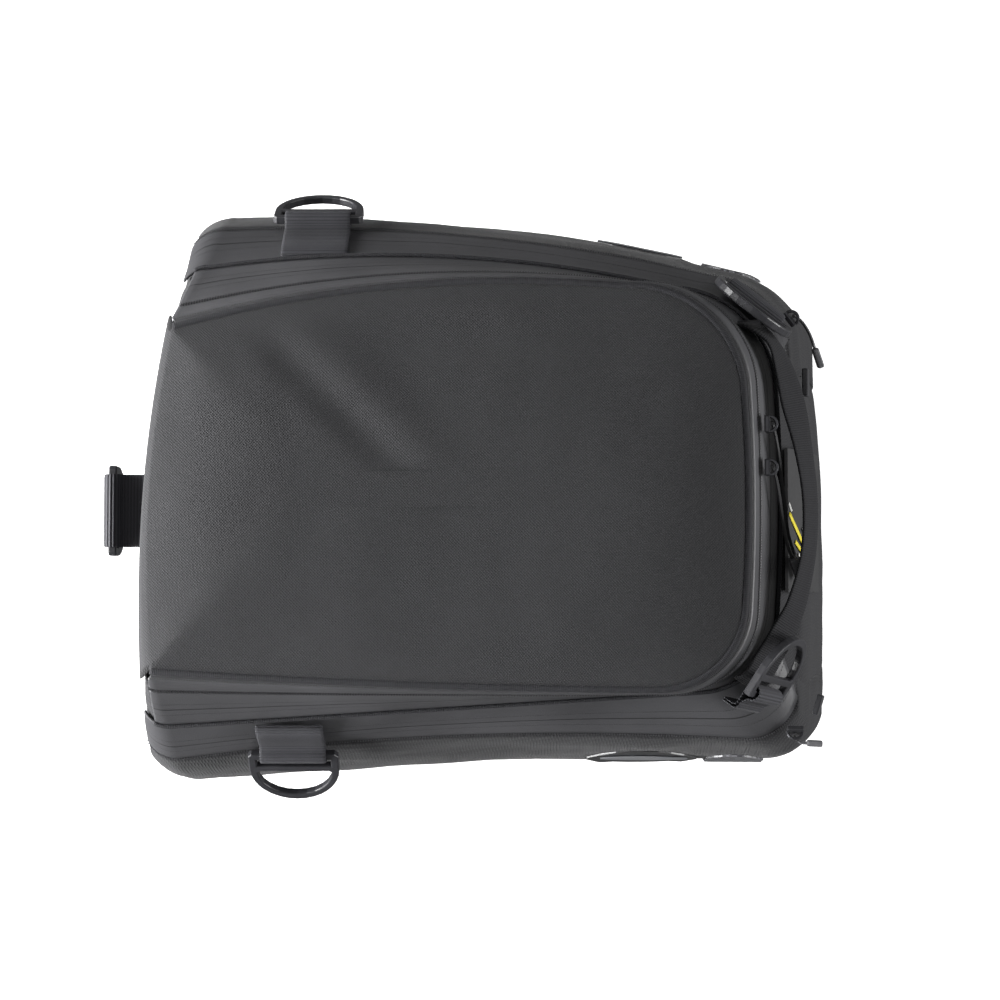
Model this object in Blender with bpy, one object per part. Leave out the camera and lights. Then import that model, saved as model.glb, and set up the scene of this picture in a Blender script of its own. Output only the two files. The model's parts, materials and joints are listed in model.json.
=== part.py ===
"""Motorcycle tail bag: a soft body with a hinged zipped lid, two side pockets, D-rings and a handle.

Built in metres, +Z up, +X to the rear (handle end), +Y to the left side of the bag.
"""
import math

import bmesh
import bpy
from mathutils import Matrix, Vector

MM = 0.001
GAP = 0.4

# Plan shape of the filled bag at each height, in mm. Corners run front right, rear right, rear
# left, front left; bows are the outward swell of the right, rear, left and front edges.
LEVELS = (
    {"z": 0.0, "corners": ((-204, -148), (196, -140), (190, 124), (-186, 150)),
     "radii": (30, 35, 45, 30), "bows": (0, 3, 8, 3)},
    {"z": 30.0, "corners": ((-211, -166), (202, -152), (196, 130), (-188, 168)),
     "radii": (30, 32, 52, 30), "bows": (-2, 2, 10, 3)},
    {"z": 60.0, "corners": ((-212, -171), (195, -156), (187, 134), (-187, 175)),
     "radii": (26, 32, 54, 28), "bows": (-4, 2, 11, 4)},
    {"z": 110.0, "corners": ((-208, -157), (178, -146), (172, 127), (-182, 163)),
     "radii": (20, 28, 50, 24), "bows": (-9, 2, 9, 4)},
    {"z": 147.0, "corners": ((-204, -132), (156, -109), (156, 114), (-182, 129)),
     "radii": (16, 45, 60, 18), "bows": (0, 2, 12, 4)},
    {"z": 176.0, "corners": ((-198, -110), (142, -112), (142, 119), (-183, 103)),
     "radii": (10, 48, 61, 11), "bows": (1, 1.5, 11, 6)},
    {"z": 188.0, "corners": ((-195, -101), (136, -113), (136, 121), (-184, 92)),
     "radii": (7, 50, 64, 7), "bows": (2, 2, 11, 7)},
)
POCKET_DEPTH = 26.0
ARC_STEPS = 6
EDGE_STEPS = 9
ARC = ARC_STEPS + 1
EDGE = EDGE_STEPS - 1
LOOP = 4 * (ARC + EDGE)
RIGHT_SIDE = range(2, 2 * ARC + EDGE - 1)
LEFT_SIDE = range(2 * (ARC + EDGE) + 1, 3 * (ARC + EDGE) + ARC - 2)
LID_RUN = range(4, LOOP - EDGE - 4)

BASE_THICK = 3.0
BASE_INSET = 2.0
SHELL_WALL = 5.0
LINING_WALL = 1.6
LEDGE_Z = 118.0
SEAM_Z = 147.0
ZIP_Z = 176.0
LID_Z = 188.0
BAND_WALL = 1.8
BAND_GAP = 0.6
LINING_GAP = 0.7
PIPING_R = 2.8
PIPING_OUT = 2.4
LID_DOME = 13.0
LID_THICK = 4.0
FOAM_THICK = 4.6
LINER_DROP = 0.8
POCKET_WALL = 4.0
POCKET_FLOOR_Z = 5.0
REFLECTOR_Z = {"left": 54.0, "right": 72.0}

BAR_HALF = 2.2
RING_THICK = 4.6
RING_DEPTH = 38.0
EYE_INNER_R = 3.5
EYE_OUTER_R = 5.1
TAB_THICK = 3.2
HANDLE_WIDTH = 25.0
HANDLE_THICK = 2.6
HANDLE_TAB_STEPS = 3
HANDLE_FOLD = 3.0
BRIDGE_R = 4.2
BRIDGE_EYE = 2.9
PULL_PIVOTS = {
    "lid_pull_a": (150.4, 37, 176.6),
    "lid_pull_b": (150.4, 13, 176.6),
    "pocket_pull_right": (170.3, -138.1, 122.3),
    "pocket_pull_left": (170.6, 104.1, 122.1),
}
# Moves the whole bag so that its outline is centred on the origin.
CENTRING = (10.8, -1.6, 0.0)


def clear_scene():
    for item in list(bpy.data.objects):
        bpy.data.objects.remove(item, do_unlink=True)


def collection(name):
    made = bpy.data.collections.new(name)
    bpy.context.scene.collection.children.link(made)
    return made


def material(name, colour, roughness, metallic=0.0):
    made = bpy.data.materials.new(name)
    made.use_nodes = True
    shader = made.node_tree.nodes["Principled BSDF"]
    shader.inputs["Base Color"].default_value = (*colour, 1.0)
    shader.inputs["Roughness"].default_value = roughness
    shader.inputs["Metallic"].default_value = metallic
    return made


def plan_level(z):
    """The plan shape between two stated heights, blended."""
    low = LEVELS[0]
    for high in LEVELS[1:]:
        if z <= high["z"]:
            break
        low = high
    if low is high:
        return dict(low, z=z)
    t = (z - low["z"]) / (high["z"] - low["z"])
    t = min(max(t, 0.0), 1.0)
    corners = tuple(
        (a[0] + t * (b[0] - a[0]), a[1] + t * (b[1] - a[1]))
        for a, b in zip(low["corners"], high["corners"])
    )
    radii = tuple(a + t * (b - a) for a, b in zip(low["radii"], high["radii"]))
    bows = tuple(a + t * (b - a) for a, b in zip(low["bows"], high["bows"]))
    return {"z": z, "corners": corners, "radii": radii, "bows": bows}


def narrowed(level, depth):
    """The same plan with its long sides moved in by the pockets' depth."""
    corners = tuple(
        (x, y - math.copysign(depth, y)) for x, y in level["corners"]
    )
    return dict(level, corners=corners)


def plan_points(level):
    """LOOP points around a plan, anticlockwise from the front right corner."""
    corners = [Vector(c) for c in level["corners"]]
    ends = []
    for i, corner in enumerate(corners):
        back = (corners[i - 1] - corner).normalized()
        ahead = (corners[(i + 1) % 4] - corner).normalized()
        half = back.angle(ahead) / 2
        radius = level["radii"][i]
        centre = corner + (back + ahead).normalized() * radius / math.sin(half)
        run = radius / math.tan(half)
        ends.append((corner + back * run, corner + ahead * run, centre, radius))
    points = []
    for i, (start, stop, centre, radius) in enumerate(ends):
        first = math.atan2(*(start - centre).yx)
        turn = (math.atan2(*(stop - centre).yx) - first) % (2 * math.pi)
        for k in range(ARC_STEPS + 1):
            angle = first + turn * k / ARC_STEPS
            points.append(centre + radius * Vector((math.cos(angle), math.sin(angle))))
        far = ends[(i + 1) % 4][0]
        along = (far - stop).normalized()
        outward = Vector((along.y, -along.x))
        for k in range(1, EDGE_STEPS):
            t = k / EDGE_STEPS
            points.append(stop.lerp(far, t) + outward * level["bows"][i] * 4 * t * (1 - t))
    return points


def offset(points, distance):
    """A closed plan moved outward by a distance, or inward if it is negative."""
    moved = []
    for i, point in enumerate(points):
        along = (points[(i + 1) % len(points)] - points[i - 1]).normalized()
        moved.append(point + Vector((along.y, -along.x)) * distance)
    return moved


def ring_at(z, grow=0.0, depth=0.0, picked=None):
    """A row of 3-D points round the bag at one height."""
    level = plan_level(z)
    if depth:
        level = narrowed(level, depth)
    plan = offset(plan_points(level), grow)
    kept = range(LOOP) if picked is None else picked
    return [Vector((plan[i].x, plan[i].y, z)) for i in kept]


def finish_mesh(name, mesh_data, where, look):
    bmesh.ops.recalc_face_normals(mesh_data, faces=mesh_data.faces)
    if mesh_data.calc_volume(signed=True) < 0:
        bmesh.ops.reverse_faces(mesh_data, faces=mesh_data.faces)
    mesh = bpy.data.meshes.new(name)
    mesh_data.to_mesh(mesh)
    mesh_data.free()
    made = bpy.data.objects.new(name, mesh)
    where.objects.link(made)
    mesh.materials.append(look)
    return made


def scaled_verts(mesh_data, row):
    return [mesh_data.verts.new(Vector(p) * MM) for p in row]


def stitch(mesh_data, low, high, closed):
    count = len(low)
    for i in range(count if closed else count - 1):
        j = (i + 1) % count
        mesh_data.faces.new((low[i], low[j], high[j], high[i]))


def wall(name, outer, inner, where, look, closed=True):
    """A wall between matching rows of outer and inner points, bottom row first."""
    mesh_data = bmesh.new()
    out = [scaled_verts(mesh_data, row) for row in outer]
    inn = [scaled_verts(mesh_data, row) for row in inner]
    for rows in (out, inn):
        for low, high in zip(rows, rows[1:]):
            stitch(mesh_data, low, high, closed)
    stitch(mesh_data, out[0], inn[0], closed)
    stitch(mesh_data, out[-1], inn[-1], closed)
    if not closed:
        for end in (0, -1):
            for k in range(len(out) - 1):
                mesh_data.faces.new((out[k][end], out[k + 1][end], inn[k + 1][end], inn[k][end]))
    return finish_mesh(name, mesh_data, where, look)


def block(name, rows, where, look):
    """A solid through closed rows of points, with flat ends."""
    mesh_data = bmesh.new()
    made = [scaled_verts(mesh_data, row) for row in rows]
    for low, high in zip(made, made[1:]):
        stitch(mesh_data, low, high, True)
    mesh_data.faces.new(made[0])
    mesh_data.faces.new(made[-1])
    return finish_mesh(name, mesh_data, where, look)


def dome(name, z, edge_grow, height, thick, where, look, scales):
    """A domed sheet over the lid's plan: rows shrink towards a line down its middle."""
    rim = [Vector((p.x, p.y, z)) for p in ring_at(LID_Z, edge_grow)]
    middle = [Vector((p.x * 0.5 - 10, p.y * 0.06, z)) for p in rim]
    mesh_data = bmesh.new()
    tops = []
    unders = []
    for s in scales:
        rise = height * (1 - s ** 3)
        row = [m.lerp(p, s) + Vector((0, 0, rise)) for p, m in zip(rim, middle)]
        tops.append(scaled_verts(mesh_data, row))
        unders.append(scaled_verts(mesh_data, [p - Vector((0, 0, thick)) for p in row]))
    for rows in (tops, unders):
        for low, high in zip(rows, rows[1:]):
            stitch(mesh_data, low, high, True)
        mesh_data.faces.new(rows[-1])
    stitch(mesh_data, tops[0], unders[0], True)
    return finish_mesh(name, mesh_data, where, look)


def rod(name, path, radius, where, look, sides=2):
    """A round bar along a path of points in mm."""
    curve = bpy.data.curves.new(name, "CURVE")
    curve.dimensions = "3D"
    curve.bevel_depth = radius * MM
    curve.bevel_resolution = sides
    curve.use_fill_caps = True
    spline = curve.splines.new("POLY")
    spline.points.add(len(path) - 1)
    for point, place in zip(spline.points, path):
        point.co = (*(Vector(place) * MM), 1.0)
    curve.materials.append(look)
    made = bpy.data.objects.new(name, curve)
    where.objects.link(made)
    return made


def meshed(made, where):
    """The same object as a plain mesh, in place."""
    bpy.context.view_layer.update()
    graph = bpy.context.evaluated_depsgraph_get()
    mesh = bpy.data.meshes.new_from_object(made.evaluated_get(graph))
    name = made.name
    frame = made.matrix_world.copy()
    bpy.data.objects.remove(made, do_unlink=True)
    mesh_data = bmesh.new()
    mesh_data.from_mesh(mesh)
    bmesh.ops.remove_doubles(mesh_data, verts=mesh_data.verts, dist=1e-6)
    mesh_data.to_mesh(mesh)
    mesh_data.free()
    new = bpy.data.objects.new(name, mesh)
    new.matrix_world = frame
    where.objects.link(new)
    return new


def boolean(target, cutter, operation, cutters):
    for user in list(cutter.users_collection):
        user.objects.unlink(cutter)
    cutters.objects.link(cutter)
    cutter.hide_render = True
    cutter.display_type = "WIRE"
    step = target.modifiers.new(operation.lower(), "BOOLEAN")
    step.operation = operation
    step.solver = "EXACT"
    step.object = cutter


def smooth_path(points, steps):
    """A curve through all the points, with some points between each pair."""
    knots = [Vector(p) for p in points]
    ends = [2 * knots[0] - knots[1]] + knots + [2 * knots[-1] - knots[-2]]
    made = []
    for a, b, c, d in zip(ends, ends[1:], ends[2:], ends[3:]):
        for k in range(steps):
            t = k / steps
            made.append(
                0.5 * (2 * b + (c - a) * t + (2 * a - 5 * b + 4 * c - d) * t * t
                       + (3 * b - a - 3 * c + d) * t ** 3)
            )
    made.append(knots[-1])
    return made


def strap(name, path, across, width, thick, where, look):
    """A flat strap along a path; across holds the direction of its width at each point."""
    mesh_data = bmesh.new()
    rows = []
    last = len(path) - 1
    for i, place in enumerate(path):
        along = (Vector(path[min(i + 1, last)]) - Vector(path[max(i - 1, 0)])).normalized()
        side = Vector(across[i])
        side = (side - along * side.dot(along)).normalized() * width / 2
        up = along.cross(side).normalized() * thick / 2
        centre = Vector(place)
        corners = (centre + side + up, centre - side + up, centre - side - up, centre + side - up)
        rows.append(scaled_verts(mesh_data, corners))
    for low, high in zip(rows, rows[1:]):
        stitch(mesh_data, low, high, True)
    mesh_data.faces.new(rows[0])
    mesh_data.faces.new(rows[-1])
    return finish_mesh(name, mesh_data, where, look)


def frame_at(origin, first, second):
    """A placement whose X axis is first and whose Y axis is second squared to it."""
    x_axis = Vector(first).normalized()
    y_axis = Vector(second)
    y_axis = (y_axis - x_axis * y_axis.dot(x_axis)).normalized()
    z_axis = x_axis.cross(y_axis)
    turn = Matrix((x_axis, y_axis, z_axis)).transposed().to_4x4()
    return Matrix.Translation(Vector(origin) * MM) @ turn


def flat_plate(name, loops, thick, bevel, frame, where, look):
    """A plate with holes: loops are closed outlines in mm, the outer one first."""
    curve = bpy.data.curves.new(name, "CURVE")
    curve.dimensions = "2D"
    curve.fill_mode = "BOTH"
    curve.extrude = (thick / 2 - bevel) * MM
    curve.bevel_depth = bevel * MM
    curve.bevel_resolution = 1 if bevel else 0
    curve.offset = -bevel * MM
    for loop in loops:
        spline = curve.splines.new("POLY")
        spline.points.add(len(loop) - 1)
        spline.use_cyclic_u = True
        for point, (x, y) in zip(spline.points, loop):
            point.co = (x * MM, y * MM, 0.0, 1.0)
    curve.materials.append(look)
    made = bpy.data.objects.new(name, curve)
    made.matrix_world = frame
    where.objects.link(made)
    return made


def arc(centre, radius_x, radius_y, start, stop, steps):
    return [
        (
            centre[0] + radius_x * math.cos(math.radians(start + (stop - start) * k / steps)),
            centre[1] + radius_y * math.sin(math.radians(start + (stop - start) * k / steps)),
        )
        for k in range(steps + 1)
    ]


def d_ring(name, origin, bar, towards, half_width, where, look):
    """A moulded ring: a webbing slot, a cross bar and a round D. Its origin is on the outer bar."""
    limb = 4.6
    slot_top = BAR_HALF + 6.0
    hole_low = slot_top + 4.2
    outer = [(-half_width + 2, -BAR_HALF), (half_width - 2, -BAR_HALF)]
    outer += [(half_width, -BAR_HALF + 2)]
    outer += arc((0, hole_low - 1), half_width, RING_DEPTH - hole_low + 1, 0, 180, 16)
    outer += [(-half_width, -BAR_HALF + 2)]
    slot_half = half_width - limb
    slot = [(-slot_half, BAR_HALF), (slot_half, BAR_HALF), (slot_half, slot_top), (-slot_half, slot_top)]
    hole = [(-half_width + limb + 1.5, hole_low), (half_width - limb - 1.5, hole_low)]
    hole += arc((0, hole_low + 1), half_width - limb, RING_DEPTH - hole_low - 1 - limb, 0, 180, 12)
    frame = frame_at(origin, bar, towards)
    return flat_plate(name, (outer, slot, hole), RING_THICK, 0.8, frame, where, look)


def webbing_loop(name, origin, tail, outward, width, length, drop, where, look):
    """Doubled webbing with an eye round the ring's bar and a tail sewn to the bag."""
    low = -EYE_OUTER_R
    high = low + TAB_THICK
    start = math.degrees(math.asin(high / EYE_OUTER_R))
    outline = arc((0, 0), EYE_OUTER_R, EYE_OUTER_R, start, 270, 12)
    if drop:
        outline += [(length - TAB_THICK, low), (length - TAB_THICK, low - drop), (length, low - drop)]
    else:
        outline += [(length, low)]
    outline += [(length, high)]
    eye = arc((0, 0), EYE_INNER_R, EYE_INNER_R, 0, 330, 11)
    frame = frame_at(origin, tail, outward)
    return flat_plate(name, (outline, eye), width, 0.0, frame, where, look)


def side_point(side, x, z, lift):
    """A point on the filled bag's long side, lifted off it by a distance in mm."""
    plan = plan_points(plan_level(z))
    kept = LEFT_SIDE if side > 0 else RIGHT_SIDE
    best = None
    for i in kept:
        a, b = plan[i], plan[i + 1]
        if min(a.x, b.x) <= x <= max(a.x, b.x) and a.x != b.x:
            y = a.y + (b.y - a.y) * (x - a.x) / (b.x - a.x)
            if best is None or abs(y) > abs(best):
                best = y
    return Vector((x, best + side * lift, z))


def side_patch(name, side, x_range, z_mid, half_height, lift, thick, where, look, pinch):
    """A thin trim piece lying on a pocket's outer face; pinch narrows its two ends."""
    columns = 9
    rows_out = []
    rows_in = []
    heights = (-1.0, -0.5, 0.0, 0.5, 1.0)
    for h in heights:
        out_row = []
        in_row = []
        for k in range(columns):
            t = k / (columns - 1)
            x = x_range[0] + (x_range[1] - x_range[0]) * t
            tall = half_height * (1 - pinch * abs(2 * t - 1) ** 2)
            in_row.append(side_point(side, x, z_mid + h * tall, lift))
            out_row.append(side_point(side, x, z_mid + h * tall, lift + thick))
        rows_out.append(out_row)
        rows_in.append(in_row)
    return wall(name, rows_out, rows_in, where, look, closed=False)


def box_piece(name, origin, first, second, size, where, look, bevel=0.8):
    """A small block with softened edges, sized along its own axes."""
    mesh_data = bmesh.new()
    bmesh.ops.create_cube(mesh_data, size=1.0)
    bmesh.ops.scale(mesh_data, vec=Vector(size) * MM, verts=mesh_data.verts)
    bmesh.ops.bevel(
        mesh_data, geom=mesh_data.edges[:], offset=bevel * MM, segments=2, affect="EDGES", profile=0.6
    )
    made = finish_mesh(name, mesh_data, where, look)
    made.matrix_world = frame_at(origin, first, second)
    return made


def slider(name, origin, along, outward, where, cutters, look):
    """A zip slider: a wedge-like body and the bridge that holds the pull."""
    frame = frame_at(origin, along, outward)
    body = box_piece(name, origin, along, outward, (9.5, 3.0, 7.0), where, look)
    bridge_path = [
        frame @ (Vector((x, y, 0.0)) * MM) / MM
        for x, y in arc((0, 1.0), BRIDGE_R, BRIDGE_R, 0, 180, 8)
    ]
    bridge = meshed(rod(name + "_bridge", bridge_path, 0.9, where, look, sides=1), where)
    boolean(body, bridge, "UNION", cutters)
    return body


def cord_pull(name, spec, end_size, where, cutters, look):
    """A cord from inside a slider's bridge to a moulded grip."""
    frame = frame_at(spec["at"], spec["along"], spec["out"])
    start = [frame @ (Vector((0.0, BRIDGE_EYE, side)) * MM) / MM for side in (-1.0, 3.0)]
    knots = start + [Vector(p) for p in spec["path"]]
    path = smooth_path(knots, 3)
    cord = meshed(rod(name, path, 1.0, where, look, sides=1), where)
    along = path[-1] - path[-2]
    middle = path[-1] + along.normalized() * (end_size[0] / 2 - 1.5)
    flat = Vector((0, 0, 1)).cross(along)
    grip = box_piece(name + "_grip", middle, along, flat, end_size, where, look, 1.0)
    boolean(cord, grip, "UNION", cutters)
    return cord


def pivot(name, origin, where, children):
    """An empty on a joint's axis that the moving pieces hang from."""
    made = bpy.data.objects.new(name, None)
    made.empty_display_size = 0.02
    made.location = Vector(origin) * MM
    where.objects.link(made)
    bpy.context.view_layer.update()
    for child in children:
        frame = child.matrix_world.copy()
        child.parent = made
        child.matrix_parent_inverse = made.matrix_world.inverted()
        child.matrix_world = frame
    return made


def build_body(bag, looks):
    """Base, shell, lining and the fixed trim."""
    base_rows = [ring_at(0.0, -BASE_INSET), ring_at(BASE_THICK, 0.0)]
    block("base_panel", base_rows, bag, looks["rubber"])

    shell_low = BASE_THICK + GAP
    core_z = (shell_low, 30.0, 60.0, LEDGE_Z - GAP)
    upper_z = (LEDGE_Z, 132.0, SEAM_Z, 161.0, ZIP_Z - GAP)
    wall_rows = [(z, SHELL_WALL, POCKET_DEPTH) for z in core_z]
    for z in upper_z:
        hang = POCKET_DEPTH * max(0.0, (SEAM_Z - z) / (SEAM_Z - LEDGE_Z))
        wall_rows.append((z, SHELL_WALL + BAND_WALL + BAND_GAP, hang))
    inner = [ring_at(z, -deep, hang) for z, deep, hang in wall_rows]
    lower = len(core_z)
    outer = [ring_at(z, 0.0, POCKET_DEPTH) for z in core_z]
    wall("body_shell_lower", outer, inner[:lower], bag, looks["fabric"])
    outer = [ring_at(z, -BAND_WALL - BAND_GAP) for z in upper_z]
    wall("body_shell_upper", outer, inner[lower:], bag, looks["fabric"])

    lining_out = [ring_at(z, -deep - LINING_GAP, hang) for z, deep, hang in wall_rows]
    lining_in = [ring_at(z, -deep - LINING_GAP - LINING_WALL, hang) for z, deep, hang in wall_rows]
    wall("lining", lining_out, lining_in, bag, looks["lining"])

    board_in = SHELL_WALL + LINING_GAP + LINING_WALL + GAP
    board_rows = [ring_at(z, -board_in, POCKET_DEPTH) for z in (shell_low, shell_low + 3.0)]
    block("base_board", board_rows, bag, looks["board"])

    band_z = (SEAM_Z + PIPING_R + 0.6, 161.0, ZIP_Z - GAP)
    outer = [ring_at(z, 0.0, 0.0, LID_RUN) for z in band_z]
    inner = [ring_at(z, -BAND_WALL, 0.0, LID_RUN) for z in band_z]
    wall("lid_zip_band_lower", outer, inner, bag, looks["coated"], closed=False)

    fold = list(range(LID_RUN[-1] + 2, LOOP)) + list(range(LID_RUN[0] - 1))
    fold_rows = ((ZIP_Z, 0.0), (LID_Z - 5.0, 0.0), (LID_Z - 1.5, -1.2), (LID_Z, -4.0))
    outer = [ring_at(z, grow, 0.0, fold) for z, grow in fold_rows]
    inner = [ring_at(z - 0.3 * k, grow - 1.6, 0.0, fold) for k, (z, grow) in enumerate(fold_rows)]
    wall("lid_hinge_fold", outer, inner, bag, looks["lid_fabric"], closed=False)

    for kept, name in ((LEFT_SIDE, "left"), (RIGHT_SIDE, "right")):
        band_z = (LEDGE_Z + 0.6, 132.0, SEAM_Z - PIPING_R - 0.6)
        outer = [ring_at(z, 0.0, 0.0, kept) for z in band_z]
        inner = [ring_at(z, -BAND_WALL, 0.0, kept) for z in band_z]
        wall("pocket_band_" + name, outer, inner, bag, looks["coated"], closed=False)

    seam = ring_at(SEAM_Z, PIPING_OUT, 0.0, LID_RUN)
    rod("body_piping", seam, PIPING_R, bag, looks["fabric"])


def build_lid(bag, looks):
    """The lid and all that opens with it."""
    skirt_z = (ZIP_Z + GAP, LID_Z - 2 * PIPING_R - GAP)
    outer = [ring_at(z, 0.0, 0.0, LID_RUN) for z in skirt_z]
    inner = [ring_at(z, -BAND_WALL, 0.0, LID_RUN) for z in skirt_z]
    skirt = wall("lid_zip_band_upper", outer, inner, bag, looks["coated"], closed=False)
    edge = ring_at(LID_Z, -PIPING_R, 0.0, LID_RUN)
    edge = [p - Vector((0, 0, PIPING_R)) for p in edge]
    piping = rod("lid_piping", edge, PIPING_R, bag, looks["fabric"])
    scales = (1.0, 0.97, 0.9, 0.75, 0.55, 0.3, 0.08)
    cover = looks["lid_fabric"]
    top = dome("lid_panel", LID_Z - 1.0, -2 * PIPING_R - 1.0, LID_DOME, LID_THICK, bag, cover, scales)
    foam_z = LID_Z - 1.0 - LID_THICK - GAP
    foam = dome("lid_foam", foam_z, -2 * PIPING_R - 4.0, LID_DOME, FOAM_THICK, bag, looks["foam"], scales)
    liner_z = foam_z - FOAM_THICK - LINER_DROP
    liner = dome("lid_lining", liner_z, -2 * PIPING_R - 4.0, LID_DOME, 1.6, bag, looks["lining"], scales)
    return [skirt, piping, top, foam, liner]


def build_pockets(bag, cutters, looks):
    """Side pockets, open inside between the bag's wall and their outer face."""
    for side, kept, name in ((1, LEFT_SIDE, "left"), (-1, RIGHT_SIDE, "right")):
        heights = (POCKET_FLOOR_Z, 30.0, 60.0, 90.0, LEDGE_Z - 1.0)
        rows = []
        for z in heights:
            out = ring_at(z, 0.0, 0.0, kept)
            core = ring_at(z, GAP, POCKET_DEPTH, kept)
            rows.append(out + core[::-1])
        tray = block("side_pocket_" + name, rows, bag, looks["fabric"])
        inner_kept = list(kept)[1:-1]
        hollow_z = (POCKET_FLOOR_Z + POCKET_WALL, 30.0, 60.0, 90.0, LEDGE_Z + 4.0)
        rows = []
        for z in hollow_z:
            out = ring_at(z, -POCKET_WALL, 0.0, inner_kept)
            core = ring_at(z, -3.0, POCKET_DEPTH, inner_kept)
            rows.append(out + core[::-1])
        hollow = block("pocket_hollow_" + name, rows, bag, looks["lining"])
        boolean(tray, hollow, "DIFFERENCE", cutters)
        film_z = REFLECTOR_Z[name]
        side_patch("reflector_base_" + name, side, (52, 118), film_z, 21, 1.3, 1.0, bag, looks["trim"], 0.92)
        strip_z = film_z + 5
        silver = looks["silver"]
        side_patch("reflector_strip_" + name, side, (60, 112), strip_z, 4, 2.7, 0.8, bag, silver, 0.8)
        side_patch("corner_patch_" + name, side, (124, 158), 62, 24, 1.3, 1.2, bag, looks["carbon"], 0.5)


def build_hardware(bag, cutters, looks):
    """Rings, webbing, handle, sliders and pulls."""
    plastic = looks["plastic"]
    webbing = looks["webbing"]
    rings = {
        "front_left": {"at": (-106, 161.0, 121.5), "bar": (1, 0, 0), "to": (0, 0.5, -0.866),
                       "tail": (0, -0.61, 0.79), "out": (0, 0.79, 0.61), "length": 31, "drop": 0,
                       "width": 38, "half": 26},
        "front_right": {"at": (-119, -149.5, 121.8), "bar": (1, 0, 0), "to": (0, -0.70, -0.714),
                        "tail": (0, 0.43, 0.90), "out": (0, -0.90, 0.43), "length": 27, "drop": 0,
                        "width": 38, "half": 26},
        "front_centre": {"at": (-218, -10, 152), "bar": (0, 1, 0), "to": (-0.05, 0, -1),
                         "tail": (1, 0, 0), "out": (0, 0, 1), "length": 20, "drop": 0,
                         "width": 41, "half": 25.4},
        "rear_left": {"at": (144.6, 107.3, 144.2), "bar": (0.79, -0.613, 0), "to": (-0.158, -0.205, 0.966),
                      "tail": (0.36, 0.46, -0.81), "out": (0.49, 0.64, 0.59), "length": 20, "drop": 0,
                      "width": 38, "half": 26},
        "rear_right": {"at": (147, -113, 160), "bar": (0.46, -0.13, -0.88), "to": (0.51, 0.846, 0.142),
                       "tail": (-0.51, -0.846, -0.142), "out": (0.726, -0.514, 0.455), "length": 12,
                       "drop": 7.5, "width": 38, "half": 26},
    }
    groups = {}
    for name, spec in rings.items():
        ring = d_ring("d_ring_" + name, spec["at"], spec["bar"], spec["to"], spec["half"], bag, plastic)
        webbing_loop("ring_loop_" + name, spec["at"], spec["tail"], spec["out"], spec["width"],
                     spec["length"], spec["drop"], bag, webbing)
        groups["ring_" + name] = [ring]

    handle_path = (
        (143, 93, 162.5), (152, 85, 162), (159, 70, 160), (164.5, 50, 159), (170, 24, 159), (173.5, -4, 159),
        (172.5, -33, 159), (166, -61, 159), (157, -80, 159), (149, -94, 158), (143, -104, 158),
    )
    lean = (
        (0.23, 0.30, -0.925), (0.23, 0.30, -0.925), (0.45, 0.30, -0.84), (0.62, 0.12, -0.77),
        (0.52, 0, -0.85), (0.45, 0, -0.89), (0.45, 0, -0.89), (0.52, -0.1, -0.85), (0.58, -0.25, -0.77),
        (0.6, -0.3, -0.74), (0.6, -0.3, -0.74),
    )
    spine = smooth_path(handle_path, 3)
    leans = smooth_path(lean, 3)
    left_end = HANDLE_TAB_STEPS + 1
    right_end = len(spine) - left_end
    strap("handle_tab_left", spine[:left_end], leans[:left_end], HANDLE_WIDTH, HANDLE_THICK, bag, webbing)
    strap("handle_tab_right", spine[right_end:], leans[right_end:], HANDLE_WIDTH, HANDLE_THICK, bag, webbing)
    bow = [Vector(p) for p in spine[HANDLE_TAB_STEPS:right_end + 1]]
    bow[0] += (bow[1] - bow[0]).normalized() * HANDLE_FOLD
    bow[-1] += (bow[-2] - bow[-1]).normalized() * HANDLE_FOLD
    handle = strap(
        "carry_handle", bow, leans[HANDLE_TAB_STEPS:right_end + 1], HANDLE_WIDTH, HANDLE_THICK, bag, webbing
    )
    groups["handle"] = [handle]

    label_rows_out = []
    label_rows_in = []
    for z in (76.0, 98.0, 121.0, 141.0):
        level = plan_points(plan_level(z))
        rear_x = max(p.x for p in level)
        label_rows_in.append([Vector((rear_x + 0.9, y, z)) for y in (-56, -15, 26)])
        label_rows_out.append([Vector((rear_x + 2.7, y, z)) for y in (-56, -15, 26)])
    wall("rear_label", label_rows_out, label_rows_in, bag, looks["rubber"], closed=False)

    runners = {
        "lid_{}_a": {"at": (147.6, 37, ZIP_Z), "along": (0, 1, 0), "out": (1, 0, 0.2), "grip": (14, 4.4, 6),
                     "path": ((154.5, 24, 168), (157.5, 6, 162), (159.8, -8, 158), (162.6, -24, 151),
                              (168.5, -38, 143))},
        "lid_{}_b": {"at": (147.6, 13, ZIP_Z), "along": (0, 1, 0), "out": (1, 0, 0.2), "grip": (14, 4.4, 6),
                     "path": ((154, 3, 170), (157, -13, 165), (160, -27, 160), (164.5, -38, 155))},
        "pocket_{}_right": {"at": (170, -135.5, 121), "along": (1, -0.02, 0), "out": (0.1, -0.9, 0.45),
                            "grip": (9, 3.6, 6), "path": ((173.5, -142.5, 119), (178.5, -143, 119.5))},
        "pocket_{}_left": {"at": (168.5, 102.5, 121), "along": (-0.6, 0.8, 0), "out": (0.75, 0.6, 0.4),
                           "grip": (12, 3.6, 6),
                           "path": ((176.5, 101, 117.5), (181, 94, 116), (184.5, 85, 114))},
    }
    for pattern, spec in runners.items():
        place = (spec["at"], spec["along"], spec["out"])
        runner = slider(pattern.format("slider"), *place, bag, cutters, looks["metal"])
        pull = cord_pull(pattern.format("pull"), spec, spec["grip"], bag, cutters, looks["rubber"])
        groups[pattern.format("slider")] = [runner]
        groups[pattern.format("pull")] = [pull]

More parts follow.
